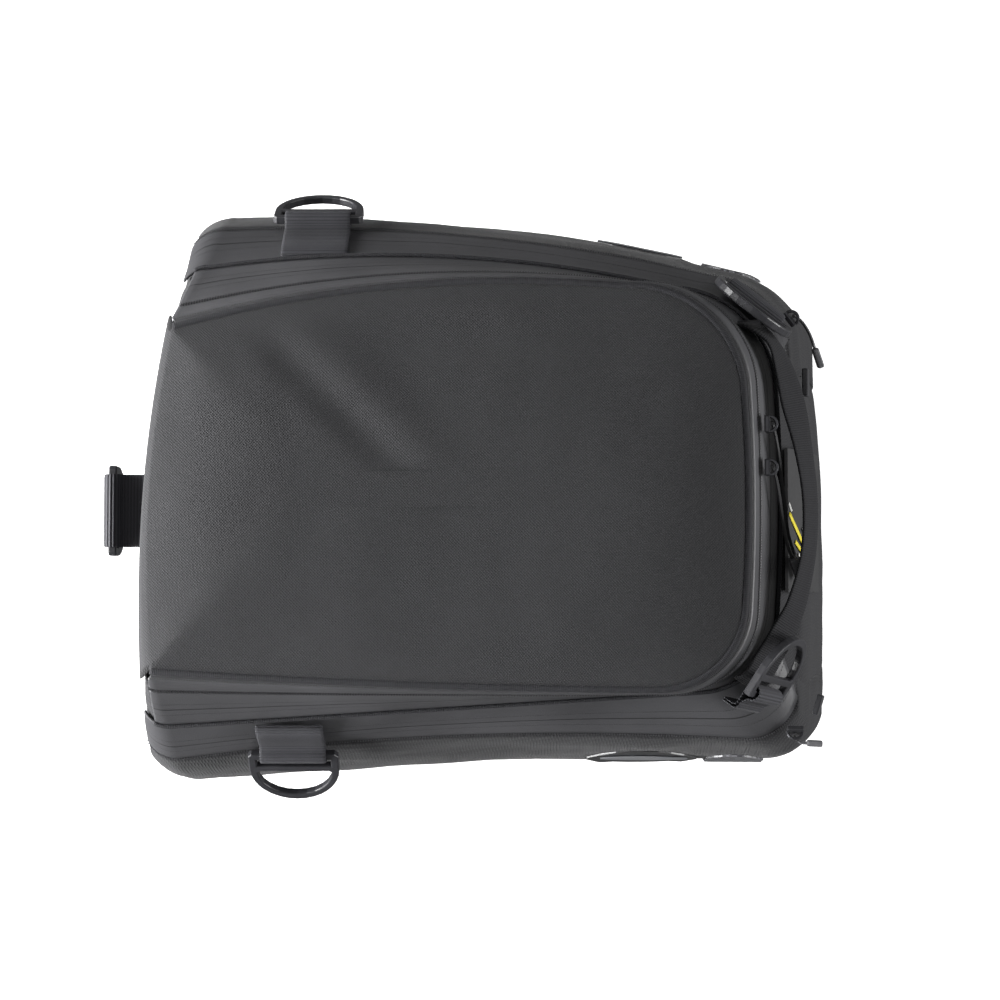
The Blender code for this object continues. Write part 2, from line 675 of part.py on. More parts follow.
    box_piece("zip_end_right", (184, -121, 118), (0.3, 1, 0), (1, 0, 0.3), (12, 3.4, 9), bag, plastic)
    box_piece("zip_end_left", (178.2, 66, 117), (0, 1, 0), (1, 0, 0.3), (16, 3.4, 9), bag, plastic)
    return groups


def main():
    clear_scene()
    bag = collection("tail_bag")
    cutters = collection("cutters")
    looks = {
        "fabric": material("fabric_black", (0.045, 0.045, 0.050), 0.85),
        "lid_fabric": material("fabric_lid", (0.050, 0.050, 0.054), 0.85),
        "coated": material("coated_fabric", (0.10, 0.10, 0.11), 0.55),
        "lining": material("lining_grey", (0.16, 0.16, 0.17), 0.8),
        "foam": material("foam_grey", (0.22, 0.22, 0.22), 0.9),
        "board": material("board_black", (0.05, 0.05, 0.05), 0.6),
        "rubber": material("rubber_black", (0.03, 0.03, 0.03), 0.7),
        "webbing": material("webbing_black", (0.03, 0.03, 0.035), 0.75),
        "plastic": material("plastic_grey", (0.10, 0.10, 0.11), 0.3),
        "metal": material("slider_metal", (0.35, 0.35, 0.37), 0.35, 0.9),
        "trim": material("trim_black", (0.02, 0.02, 0.02), 0.4),
        "silver": material("reflective_silver", (0.55, 0.56, 0.58), 0.35),
        "carbon": material("carbon_print", (0.12, 0.12, 0.13), 0.4),
    }
    build_body(bag, looks)
    lid = build_lid(bag, looks)
    build_pockets(bag, cutters, looks)
    moving = build_hardware(bag, cutters, looks)
    pivot("lid_pivot", (-189.5, -5, LID_Z - 1.0), bag, lid)
    pivot("handle_pivot", (143, -5, 160), bag, moving["handle"])
    for name, place in PULL_PIVOTS.items():
        pivot(name + "_pivot", place, bag, moving[name])
    for made in list(bag.objects) + list(cutters.objects):
        if made.parent is None:
            made.matrix_world = Matrix.Translation(Vector(CENTRING) * MM) @ made.matrix_world


main()
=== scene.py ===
"""Motorcycle tail bag: soft shell, webbing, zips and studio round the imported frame."""

import json
import math

import bmesh
import bpy
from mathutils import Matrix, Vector, noise


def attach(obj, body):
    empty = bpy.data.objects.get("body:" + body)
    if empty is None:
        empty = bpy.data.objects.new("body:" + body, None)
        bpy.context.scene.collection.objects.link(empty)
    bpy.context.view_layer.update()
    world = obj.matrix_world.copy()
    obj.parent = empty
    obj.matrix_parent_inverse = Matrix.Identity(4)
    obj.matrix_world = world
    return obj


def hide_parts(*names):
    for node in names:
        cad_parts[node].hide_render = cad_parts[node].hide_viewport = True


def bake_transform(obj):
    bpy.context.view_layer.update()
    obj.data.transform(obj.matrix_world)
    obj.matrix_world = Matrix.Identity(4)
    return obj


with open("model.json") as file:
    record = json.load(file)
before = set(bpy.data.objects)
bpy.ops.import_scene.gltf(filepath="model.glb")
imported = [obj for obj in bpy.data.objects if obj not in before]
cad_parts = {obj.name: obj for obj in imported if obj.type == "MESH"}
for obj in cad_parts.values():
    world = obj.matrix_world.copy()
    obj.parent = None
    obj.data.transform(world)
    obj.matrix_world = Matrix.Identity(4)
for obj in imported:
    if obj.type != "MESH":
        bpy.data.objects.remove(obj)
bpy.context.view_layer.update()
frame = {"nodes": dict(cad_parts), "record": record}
NODES = frame["nodes"]

MM = 0.001
SHIFT = Vector((10.8, -1.6, 0.0))
ARC = 18
EDGE = 27
LOOP = 4 * (ARC + EDGE)
PART = 3
RIGHT_SIDE = list(range(2 * PART, 20 * PART + 1))
LEFT_SIDE = list(range(31 * PART, 49 * PART + 1))
LID_RUN = list(range(4 * PART, 47 * PART + 1))
POCKET_DEPTH = 26.0
LEDGE_Z = 118.0
SEAM_Z = 147.0
ZIP_Z = 176.0
LID_Z = 188.0
LID_CORD_R = 2.4
LID_INSET = 4.2
CORNER_TUCK = 2.2
BODY_CORD_R = 1.3
LID_RISE = 12.2
LID_CLOTH = 1.3
FOAM_THICK = 4.6
LINING_THICK = 0.9
TAPE_THICK = 1.4
BODY_CLOTH = 1.6
POCKET_CLOTH = 1.5
INNER_FLOOR_Z = 7.8
CORD_SIDES = 12
CORD_STEP = 1.2
TOOTH_HEIGHT = 0.9
TOOTH_PITCH = 1.5
STRAP_THICK = 1.5
STRAP_STEP = 0.34
HANDLE_WIDTH = 25
HANDLE_THICK = 2.2
LABEL_LIFT = 3.1
PRINT_THICK = 0.35
GRIP_REACH = 14.5
EDGE_ROUND = 0.3
CAMERA_LENS = 70.16
CAMERA_AWAY = 1150
CAMERA_TILT = 2.5
AIM_Z = 100

# Height, then the corners front right, rear right, rear left and front left,
# then their four radii, then the bow of each side.
PLAN = (
    (0.0, (-204, -148, 196, -140, 190, 124, -186, 150), (30, 35, 45, 30), (0, 3, 8, 3)),
    (30.0, (-211, -166, 202, -152, 196, 130, -188, 168), (30, 32, 52, 30), (-2, 2, 10, 3)),
    (60.0, (-212, -171, 195, -156, 187, 134, -187, 175), (26, 32, 54, 28), (-4, 2, 11, 4)),
    (110.0, (-208, -157, 178, -146, 172, 127, -182, 163), (20, 28, 50, 24), (-9, 2, 9, 4)),
    (147.0, (-204, -132, 156, -109, 156, 114, -182, 129), (16, 45, 60, 18), (0, 2, 12, 4)),
    (176.0, (-198, -110, 142, -112, 142, 119, -183, 103), (10, 48, 61, 11), (1, 1.5, 11, 6)),
    (188.0, (-195, -101, 136, -113, 136, 121, -184, 92), (7, 50, 64, 7), (2, 2, 11, 7)),
)


# ---------------------------------------------------------------- plan of the filled bag
def smooth(t):
    t = min(max(t, 0.0), 1.0)
    return t * t * (3 - 2 * t)


def level(z):
    """Corners, radii and bows at one height, on a smooth curve through the stated heights."""
    rows = [(row[0], [*row[1], *row[2], *row[3]]) for row in PLAN]
    z = min(max(z, rows[0][0]), rows[-1][0])
    k = max(i for i in range(len(rows) - 1) if rows[i][0] <= z)
    za, a = rows[k]
    zb, b = rows[k + 1]
    before = rows[max(k - 1, 0)]
    after = rows[min(k + 2, len(rows) - 1)]
    t = (z - za) / (zb - za)
    made = []
    for i, (p, q) in enumerate(zip(a, b)):
        slope_a = (q - before[1][i]) / (zb - before[0]) * (zb - za)
        slope_b = (after[1][i] - p) / (after[0] - za) * (zb - za)
        made.append(
            (2 * t ** 3 - 3 * t ** 2 + 1) * p + (t ** 3 - 2 * t ** 2 + t) * slope_a
            + (3 * t ** 2 - 2 * t ** 3) * q + (t ** 3 - t ** 2) * slope_b
        )
    return made


def ring(z, grow=0.0, depth=0.0, kept=None):
    """A row of points round the bag at one height, anticlockwise from the front right corner."""
    values = level(z)
    corners = [Vector((values[2 * i], values[2 * i + 1])) for i in range(4)]
    corners = [Vector((c.x, c.y - math.copysign(depth, c.y))) for c in corners]
    radii, bows = values[8:12], values[12:16]
    ends = []
    for i, corner in enumerate(corners):
        back = (corners[i - 1] - corner).normalized()
        ahead = (corners[(i + 1) % 4] - corner).normalized()
        half = back.angle(ahead) / 2
        centre = corner + (back + ahead).normalized() * radii[i] / math.sin(half)
        run = radii[i] / math.tan(half)
        ends.append((corner + back * run, corner + ahead * run, centre, radii[i]))
    plan = []
    for i, (start, stop, centre, radius) in enumerate(ends):
        first = math.atan2(*(start - centre).yx)
        turn = (math.atan2(*(stop - centre).yx) - first) % (2 * math.pi)
        for k in range(ARC + 1):
            angle = first + turn * k / ARC
            plan.append(centre + radius * Vector((math.cos(angle), math.sin(angle))))
        far = ends[(i + 1) % 4][0]
        along = (far - stop).normalized()
        outward = Vector((along.y, -along.x))
        for k in range(1, EDGE):
            t = k / EDGE
            plan.append(stop.lerp(far, t) + outward * bows[i] * 4 * t * (1 - t))
    moved = []
    for i, point in enumerate(plan):
        along = (plan[(i + 1) % len(plan)] - plan[i - 1]).normalized()
        place = point + Vector((along.y, -along.x)) * grow
        moved.append(Vector((place.x, place.y, z)))
    return moved if kept is None else [moved[i] for i in kept]


def between(low, high, count):
    return [low + (high - low) * k / (count - 1) for k in range(count)]


def smooth_path(points, steps):
    """A curve through all the points, with some points between each pair."""
    knots = [Vector(p) for p in points]
    ends = [2 * knots[0] - knots[1]] + knots + [2 * knots[-1] - knots[-2]]
    made = []
    for a, b, c, d in zip(ends, ends[1:], ends[2:], ends[3:]):
        for k in range(steps):
            t = k / steps
            bend = (2 * a - 5 * b + 4 * c - d) * t * t
            twist = (3 * b - a - 3 * c + d) * t ** 3
            made.append(0.5 * (2 * b + (c - a) * t + bend + twist))
    made.append(knots[-1])
    return made


def even_path(points, step):
    """The same path with its points a fixed distance apart."""
    made = [points[0].copy()]
    left = step
    for a, b in zip(points, points[1:]):
        length = (b - a).length
        place = left
        while place < length:
            made.append(a.lerp(b, place / length))
            place += step
        left = place - length
    return made


# ---------------------------------------------------------------- materials
BAND_DARK = (0.014, 0.014, 0.015)


def tree_of(name):
    look = bpy.data.materials.new(name)
    look.use_nodes = True
    return look, look.node_tree.nodes, look.node_tree.links, look.node_tree.nodes["Principled BSDF"]


def maths(nodes, links, operation, *values):
    """A Math node, whose inputs are numbers or sockets."""
    made = nodes.new("ShaderNodeMath")
    made.operation = operation
    for i, value in enumerate(values):
        if isinstance(value, (int, float)):
            made.inputs[i].default_value = value
        else:
            links.new(value, made.inputs[i])
    return made.outputs[0]


def coloured(nodes, links, factor, dark, light):
    """A colour between two, by a factor."""
    ramp = nodes.new("ShaderNodeValToRGB")
    ramp.color_ramp.elements[0].color = (*dark, 1)
    ramp.color_ramp.elements[1].color = (*light, 1)
    links.new(factor, ramp.inputs["Fac"])
    return ramp.outputs["Color"]


def bumped(nodes, links, shader, height, strength, distance):
    bump = nodes.new("ShaderNodeBump")
    bump.inputs["Strength"].default_value = strength
    bump.inputs["Distance"].default_value = distance
    links.new(height, bump.inputs["Height"])
    links.new(bump.outputs["Normal"], shader.inputs["Normal"])


def noisy(nodes, links, where, scale, detail=3.0):
    made = nodes.new("ShaderNodeTexNoise")
    made.inputs["Scale"].default_value = scale
    made.inputs["Detail"].default_value = detail
    links.new(where, made.inputs["Vector"])
    return made.outputs["Fac"]


def waved(nodes, links, where, scale, turn):
    """Thread lines along one direction of a plane."""
    mapping = nodes.new("ShaderNodeMapping")
    mapping.inputs["Rotation"].default_value = turn
    links.new(where, mapping.inputs["Vector"])
    made = nodes.new("ShaderNodeTexWave")
    made.inputs["Scale"].default_value = scale
    made.inputs["Distortion"].default_value = 0.6
    made.inputs["Detail"].default_value = 1.0
    made.inputs["Detail Scale"].default_value = 2.0
    links.new(mapping.outputs["Vector"], made.inputs["Vector"])
    return made.outputs["Fac"]


def cloth_look(name, dark, light, rough, weave=260.0, depth=0.00035):
    """Woven polyester: crossed threads, fibre speckle and faint uneven fading."""
    look, nodes, links, shader = tree_of(name)
    where = nodes.new("ShaderNodeTexCoord").outputs["Object"]
    warp = waved(nodes, links, where, weave, (0.0, 0.35, 0.72))
    weft = waved(nodes, links, where, weave * 0.9, (0.3, 0.0, -0.80))
    speck = noisy(nodes, links, where, 900.0, 2.0)
    fade = noisy(nodes, links, where, 9.0, 4.0)
    threads = maths(nodes, links, "MULTIPLY", warp, weft)
    grain = maths(nodes, links, "MULTIPLY_ADD", speck, 0.9, threads)
    tone = maths(nodes, links, "MULTIPLY_ADD", fade, 0.55, maths(nodes, links, "MULTIPLY", grain, 0.42))
    links.new(coloured(nodes, links, tone, dark, light), shader.inputs["Base Color"])
    worn = maths(nodes, links, "MULTIPLY_ADD", fade, 0.16, rough - 0.08)
    links.new(worn, shader.inputs["Roughness"])
    shader.inputs["Sheen Weight"].default_value = 0.12
    shader.inputs["Sheen Roughness"].default_value = 0.4
    shader.inputs["Specular IOR Level"].default_value = 0.3
    bumped(nodes, links, shader, grain, 0.65, depth)
    return look


def band_look(name, light, rough, lines):
    """Coated zip tape with its closed slit and rows of stitches.

    Each line has its height on the band, its half width and the pitch of its stitches in mm.
    A pitch of 0 makes an unbroken line.
    """
    look, nodes, links, shader = tree_of(name)
    coords = nodes.new("ShaderNodeTexCoord")
    split = nodes.new("ShaderNodeSeparateXYZ")
    links.new(coords.outputs["UV"], split.inputs[0])
    run, rise = split.outputs["X"], split.outputs["Y"]
    where = coords.outputs["Object"]
    mask = None
    for place, width, pitch in lines:
        away = maths(nodes, links, "ABSOLUTE", maths(nodes, links, "SUBTRACT", rise, place * MM))
        line = maths(nodes, links, "SUBTRACT", 1.0, maths(nodes, links, "DIVIDE", away, width * MM))
        line = maths(nodes, links, "MAXIMUM", line, 0.0)
        if pitch:
            turns = maths(nodes, links, "MULTIPLY", run, 2 * math.pi / (pitch * MM))
            beat = maths(nodes, links, "SINE", turns)
            line = maths(nodes, links, "MULTIPLY", line, maths(nodes, links, "GREATER_THAN", beat, -0.35))
        mask = line if mask is None else maths(nodes, links, "MAXIMUM", mask, line)
    grain = noisy(nodes, links, where, 1300.0, 2.0)
    cloud = noisy(nodes, links, where, 14.0, 4.0)
    tone = maths(nodes, links, "MULTIPLY_ADD", cloud, 0.7, maths(nodes, links, "MULTIPLY", grain, 0.25))
    tone = maths(nodes, links, "SUBTRACT", tone, maths(nodes, links, "MULTIPLY", mask, 0.75))
    links.new(coloured(nodes, links, tone, BAND_DARK, light), shader.inputs["Base Color"])
    links.new(maths(nodes, links, "MULTIPLY_ADD", cloud, 0.2, rough - 0.1), shader.inputs["Roughness"])
    shader.inputs["Specular IOR Level"].default_value = 0.5
    ground = maths(nodes, links, "SUBTRACT", maths(nodes, links, "MULTIPLY", grain, 0.3), mask)
    bumped(nodes, links, shader, ground, 0.8, 0.0004)
    return look


def ribbed_look(name, dark, light, rough, pitch, depth):
    """Fabric wound or woven with ribs across its run, read from the piece's length."""
    look, nodes, links, shader = tree_of(name)
    coords = nodes.new("ShaderNodeTexCoord")
    split = nodes.new("ShaderNodeSeparateXYZ")
    links.new(coords.outputs["UV"], split.inputs[0])
    turns = maths(nodes, links, "MULTIPLY", split.outputs["X"], 2 * math.pi / (pitch * MM))
    rib = maths(nodes, links, "MULTIPLY_ADD", maths(nodes, links, "SINE", turns), 0.5, 0.5)
    fuzz = noisy(nodes, links, coords.outputs["Object"], 1500.0, 2.0)
    fade = noisy(nodes, links, coords.outputs["Object"], 30.0, 3.0)
    grain = maths(nodes, links, "MULTIPLY_ADD", fuzz, 0.35, maths(nodes, links, "MULTIPLY", rib, 0.55))
    tone = maths(nodes, links, "MULTIPLY_ADD", fade, 0.35, maths(nodes, links, "MULTIPLY", grain, 0.7))
    links.new(coloured(nodes, links, tone, dark, light), shader.inputs["Base Color"])
    links.new(maths(nodes, links, "MULTIPLY_ADD", fade, 0.15, rough - 0.07), shader.inputs["Roughness"])
    shader.inputs["Sheen Weight"].default_value = 0.05
    shader.inputs["Specular IOR Level"].default_value = 0.2
    bumped(nodes, links, shader, grain, 0.8, depth)
    return look


def moulded_look(name, dark, light, rough, metallic=0.0, grain_scale=420.0, depth=0.00012, coat=0.0):
    """Moulded plastic, rubber, film or plated metal: fine texture, handling marks and uneven gloss."""
    look, nodes, links, shader = tree_of(name)
    where = nodes.new("ShaderNodeTexCoord").outputs["Object"]
    grain = noisy(nodes, links, where, grain_scale, 3.0)
    marks = noisy(nodes, links, where, 60.0, 5.0)
    tone = maths(nodes, links, "MULTIPLY_ADD", marks, 0.6, maths(nodes, links, "MULTIPLY", grain, 0.35))
    links.new(coloured(nodes, links, tone, dark, light), shader.inputs["Base Color"])
    links.new(maths(nodes, links, "MULTIPLY_ADD", marks, 0.3, rough - 0.15), shader.inputs["Roughness"])
    shader.inputs["Metallic"].default_value = metallic
    shader.inputs["Coat Weight"].default_value = coat
    bumped(nodes, links, shader, grain, 0.5, depth)
    return look


def carbon_look():
    """Film printed and pressed like woven carbon."""
    look, nodes, links, shader = tree_of("carbon_film")
    where = nodes.new("ShaderNodeTexCoord").outputs["Object"]
    check = nodes.new("ShaderNodeTexChecker")
    check.inputs["Scale"].default_value = 330.0
    links.new(where, check.inputs["Vector"])
    marks = noisy(nodes, links, where, 80.0)
    squares = maths(nodes, links, "MULTIPLY", check.outputs["Fac"], 0.6)
    tone = maths(nodes, links, "MULTIPLY_ADD", marks, 0.3, squares)
    woven = coloured(nodes, links, tone, (0.015, 0.015, 0.017), (0.22, 0.22, 0.24))
    links.new(woven, shader.inputs["Base Color"])
    shader.inputs["Roughness"].default_value = 0.32
    bumped(nodes, links, shader, check.outputs["Fac"], 0.5, 0.0002)
    return look


LOOKS = {
    "fabric": cloth_look("body_polyester", (0.010, 0.010, 0.011), (0.032, 0.032, 0.035), 0.85),
    "lid_fabric": cloth_look(
        "lid_polyester", (0.012, 0.012, 0.013), (0.038, 0.038, 0.041), 0.82, weave=300.0,
    ),
    "lining": cloth_look(
        "grey_lining", (0.10, 0.10, 0.105), (0.22, 0.22, 0.225), 0.75, weave=420.0, depth=0.0002,
    ),
    "foam": moulded_look(
        "foam_grey", (0.15, 0.15, 0.15), (0.28, 0.28, 0.28), 0.9, grain_scale=700.0, depth=0.0006,
    ),
    "webbing": ribbed_look("ribbed_webbing", (0.011, 0.011, 0.012), (0.070, 0.070, 0.080), 0.62, 1.8, 0.0004),
    "handle": ribbed_look("handle_webbing", (0.004, 0.004, 0.005), (0.022, 0.022, 0.025), 0.74, 1.3, 0.0004),
    "piping": ribbed_look("wound_piping", (0.007, 0.007, 0.008), (0.036, 0.036, 0.041), 0.7, 1.0, 0.0003),
    # The upper bands are the same coated tape as the pocket bands below; their slightly lighter colour is
    # painted sheen.
    "coated_high": band_look(
        "coated_band_upper_painted_sheen", (0.120, 0.120, 0.128), 0.42,
        ((9.5, 0.22, 1.5), (14.5, 0.5, 0), (19.5, 0.22, 1.5)),
    ),
    "coated_low": band_look(
        "coated_band_lower", (0.104, 0.104, 0.112), 0.44,
        ((9.0, 0.22, 1.5), (14.5, 0.5, 0), (20.0, 0.22, 1.5)),
    ),
    "plastic": moulded_look("ring_plastic", (0.014, 0.014, 0.016), (0.044, 0.044, 0.050), 0.34),
    "rubber": moulded_look(
        "moulded_rubber", (0.010, 0.010, 0.011), (0.038, 0.038, 0.040), 0.62, grain_scale=600.0,
    ),
    "metal": moulded_look("slider_zinc", (0.03, 0.03, 0.034), (0.12, 0.12, 0.13), 0.36, metallic=0.8),
    "trim": moulded_look("film_black", (0.006, 0.006, 0.007), (0.022, 0.022, 0.024), 0.36, coat=0.2),
    "silver": moulded_look(
        "film_silver", (0.14, 0.145, 0.155), (0.26, 0.265, 0.28), 0.34, grain_scale=1400.0,
    ),
    "carbon": carbon_look(),
    "board": moulded_look("board_black", (0.03, 0.03, 0.03), (0.07, 0.07, 0.07), 0.65),
    "teeth": moulded_look("coil_nylon", (0.02, 0.02, 0.022), (0.07, 0.07, 0.075), 0.45),
    "yellow": moulded_look("print_yellow", (0.62, 0.52, 0.02), (0.82, 0.70, 0.05), 0.55),
    "white": moulded_look("print_white", (0.45, 0.45, 0.43), (0.70, 0.70, 0.68), 0.55),
    "grip": moulded_look("pull_grip", (0.05, 0.05, 0.053), (0.16, 0.16, 0.17), 0.42, grain_scale=600.0),
}


# ---------------------------------------------------------------- mesh making
def add_piece(name, made, look, body=None, nodes=(), smooth_shade=True, merge=True):
    """Turns bmesh data in mm into a finished piece that rides on a body and stands for CAD nodes."""
    if merge:
        bmesh.ops.remove_doubles(made, verts=made.verts, dist=1e-4)
    for vert in made.verts:
        vert.co = (vert.co + SHIFT) * MM
    data = bpy.data.meshes.new(name)
    made.to_mesh(data)
    made.free()
    if smooth_shade:
        data.shade_smooth()
    data.materials.append(LOOKS[look])
    piece = bpy.data.objects.new(name, data)
    bpy.context.scene.collection.objects.link(piece)
    if nodes:
        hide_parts(*nodes)
    if body:
        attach(piece, body)
    return piece


def grid(rows, closed=False, end_face=False):
    """A surface over rows of points; its UV holds the run and the rise in metres."""
    made = bmesh.new()
    layer = made.loops.layers.uv.new("run")
    verts = [[made.verts.new(p) for p in row] for row in rows]
    runs = [0.0]
    for a, b in zip(rows[0], rows[0][1:] + rows[0][:1]):
        runs.append(runs[-1] + (b - a).length)
    rises = [0.0]
    middle = len(rows[0]) // 2
    for a, b in zip(rows, rows[1:]):
        rises.append(rises[-1] + (b[middle] - a[middle]).length)
    count = len(rows[0])
    for j in range(len(rows) - 1):
        for i in range(count if closed else count - 1):
            k = (i + 1) % count
            face = made.faces.new((verts[j][i], verts[j][k], verts[j + 1][k], verts[j + 1][i]))
            places = ((i, j), (i + 1, j), (i + 1, j + 1), (i, j + 1))
            for loop, (a, b) in zip(face.loops, places):
                loop[layer].uv = (runs[a] * MM, rises[b] * MM)
    if end_face:
        made.faces.new(verts[-1])
    made.normal_update()
    return made


def displaced(made, folds):
    """Moves each point along its normal by a fold function of its place."""
    moves = [(v, v.normal.copy() * folds(v.co)) for v in made.verts]
    for vert, move in moves:
        vert.co += move
    return made


def thicken(piece, thick, offset=-1.0):
    shell = piece.modifiers.new("thickness", "SOLIDIFY")
    shell.thickness = thick * MM
    shell.offset = offset


def cord(name, path, radius, body, nodes):
    """Round piping along a path, its UV running along it."""
    rows = []
    last = len(path) - 1
    up = Vector((0, 0, 1))
    for i, place in enumerate(path):
        along = (path[min(i + 1, last)] - path[max(i - 1, 0)]).normalized()
        side = along.cross(up).normalized()
        top = side.cross(along).normalized()
        angles = [2 * math.pi * k / CORD_SIDES for k in range(CORD_SIDES)]
        rows.append([place + radius * (side * math.cos(a) + top * math.sin(a)) for a in angles])
    made = bmesh.new()
    layer = made.loops.layers.uv.new("run")
    verts = [[made.verts.new(p) for p in row] for row in rows]
    run = 0.0
    for j in range(last):
        ahead = run + (path[j + 1] - path[j]).length
        for i in range(CORD_SIDES):
            k = (i + 1) % CORD_SIDES
            face = made.faces.new((verts[j][k], verts[j][i], verts[j + 1][i], verts[j + 1][k]))
            for loop, uv in zip(face.loops, ((run, k), (run, i), (ahead, i), (ahead, k))):
                loop[layer].uv = (uv[0] * MM, uv[1] / CORD_SIDES)
        run = ahead
    made.faces.new(verts[0])
    made.faces.new(list(reversed(verts[-1])))
    bmesh.ops.recalc_face_normals(made, faces=made.faces)
    add_piece(name, made, "piping", body, nodes)


def webbing(name, path, across, width, thick, look, body=None, nodes=(), pitch=1.7, depth=0.34):
    """A flat strap with woven ribs across it and rounded edges."""
    lengths = [0.0]
    for a, b in zip(path, path[1:]):
        lengths.append(lengths[-1] + (b - a).length)
    profile = (-1.0, -0.97, -0.9, -0.45, 0.0, 0.45, 0.9, 0.97, 1.0)
    swell = (0.25, 0.72, 1.0, 1.0, 1.0, 1.0, 1.0, 0.72, 0.25)
    made = bmesh.new()
    layer = made.loops.layers.uv.new("run")
    rows = []
    last = len(path) - 1
    for i, place in enumerate(path):
        along = (path[min(i + 1, last)] - path[max(i - 1, 0)]).normalized()
        side = across[i] if isinstance(across, list) else across
        side = (side - along * side.dot(along)).normalized()
        up = along.cross(side).normalized()
        rib = depth * abs(math.sin(math.pi * lengths[i] / pitch)) - depth
        row = [place + side * width / 2 * s + up * (thick / 2 * w + rib) for s, w in zip(profile, swell)]
        row += [
            place + side * width / 2 * s - up * (thick / 2 * w + rib)
            for s, w in zip(reversed(profile), reversed(swell))
        ]
        rows.append([made.verts.new(p) for p in row])
    count = len(rows[0])
    for j in range(last):
        for i in range(count):
            k = (i + 1) % count
            face = made.faces.new((rows[j][i], rows[j][k], rows[j + 1][k], rows[j + 1][i]))
            for loop, (a, b) in zip(face.loops, ((j, i), (j, i + 1), (j + 1, i + 1), (j + 1, i))):
                loop[layer].uv = (lengths[a] * MM, b / count)
    made.faces.new(rows[0])
    made.faces.new(list(reversed(rows[-1])))
    bmesh.ops.recalc_face_normals(made, faces=made.faces)
    return add_piece(name, made, look, body, nodes)


def teeth(name, path, body):
    """A row of coil teeth standing a little proud of a zip's edge."""
    made = bmesh.new()
    places = even_path(path, TOOTH_PITCH)
    for a, b in zip(places, places[1:]):
        along = (b - a).normalized()
        outward = Vector((along.y, -along.x, 0)).normalized()
        centre = a + outward * 0.1
        corners = []
        for up in (-0.5, 0.5):
            for out in (-0.6, 0.35):
                for run in (-0.45, 0.45):
                    narrowed = run * (1.0 if out < 0 else 0.7)
                    lifted = centre + Vector((0, 0, up * TOOTH_HEIGHT))
                    corners.append(made.verts.new(lifted + outward * out + along * narrowed))
        for face in ((0, 1, 3, 2), (4, 6, 7, 5), (0, 4, 5, 1), (2, 3, 7, 6), (0, 2, 6, 4), (1, 5, 7, 3)):
            made.faces.new([corners[i] for i in face])
    bmesh.ops.recalc_face_normals(made, faces=made.faces)
    add_piece(name, made, "teeth", body, smooth_shade=False, merge=False)


def rumple(scale, amount, stretch=(1.0, 1.0, 1.0), seed=0.0):
    """Soft folds at one scale, drawn out along chosen axes."""
    def folds(p):
        place = Vector((p.x * stretch[0], p.y * stretch[1], p.z * stretch[2])) * scale
        return amount * noise.noise(place + Vector((seed, seed * 0.7, seed * 1.3)))
    return folds


def layered(*parts):
    return lambda p: sum(part(p) for part in parts)


# ---------------------------------------------------------------- lid
def front_share(i):
    """1 along the front edge, where the lid folds over; 0 where it is piped."""
    first, last = LID_RUN[0] - 2 * PART, LID_RUN[-1] + 2 * PART
    away = i if i <= LOOP // 2 else i - LOOP
    start = last - LOOP
    return smooth((away - start) / 5.0) * smooth((first - away) / 5.0)


def lid_rows(drop, grow, rise, scales):
    rim = ring(LID_Z, -LID_INSET + grow)
    rows = []
    for k, s in enumerate(scales):
        for _ in range(min(3 * k, 14)):
            rim = [(rim[i - 1] + rim[i] * 2 + rim[(i + 1) % len(rim)]) / 4 for i in range(len(rim))]
        row = []
        for p in rim:
            middle = Vector((p.x * 0.5 - 10, p.y * 0.06, 0))
            flat = middle.lerp(Vector((p.x, p.y, 0)), s)
            row.append(Vector((flat.x, flat.y, LID_Z - 0.6 - drop + rise * (1 - s ** 3))))
        rows.append(row)
    return rows


def lid_folds(p):
    """The lid's own hang: a long diagonal crease from the front left corner, and shallow hollows."""
    start, stop = Vector((-140, 96)), Vector((-36, -6))
    along = (stop - start).normalized()
    away = Vector((p.x, p.y)) - start
    run = away.dot(along) / (stop - start).length
    aside = away.dot(Vector((-along.y, along.x)))
    fade = smooth(run / 0.25) * smooth((1.15 - run) / 0.5)
    crease = -1.8 * math.exp(-(aside / 9.0) ** 2) + 1.3 * math.exp(-((aside - 17.0) / 13.0) ** 2)
    inner = smooth((p.z - LID_Z - 0.5) / 5.0)
    hollow = 1.5 * noise.noise(Vector((p.x * 0.011, p.y * 0.014, 3.0)))
    pucker = 0.32 * noise.noise(Vector((p.x * 0.045, p.y * 0.045, 8.0)))
    return (crease * fade + hollow + pucker) * inner


def build_lid_cover():
    front_rows = [(ZIP_Z - 6.0, 0.5), (ZIP_Z - 2.0, 0.5), (ZIP_Z + 3.0, 0.1), (LID_Z - 6.5, -0.5),
                  (LID_Z - 3.6, -1.2), (LID_Z - 1.8, -2.4), (LID_Z - 0.9, -4.0)]
    side_drops = (4.4, 3.9, 3.3, 2.8, 2.3, 1.8, 1.2)
    rows = []
    for (front_z, front_grow), drop in zip(front_rows, side_drops):
        ahead = ring(front_z, front_grow)
        beside = ring(LID_Z - drop, -LID_INSET)
        rows.append([q.lerp(p, front_share(i)) for i, (p, q) in enumerate(zip(ahead, beside))])
    scales = [1.0, 0.985, 0.965, 0.94, 0.91, 0.875, 0.84, 0.8, 0.75, 0.7, 0.64, 0.58, 0.52, 0.45, 0.38, 0.31,
              0.24, 0.17, 0.1, 0.04]
    rows += lid_rows(0.0, 0.0, LID_RISE, scales)
    made = displaced(grid(rows, closed=True, end_face=True), lid_folds)
    cover = add_piece("lid_cover", made, "lid_fabric", nodes=("lid_panel", "lid_hinge_fold"))
    thicken(cover, LID_CLOTH)
    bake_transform(cover)


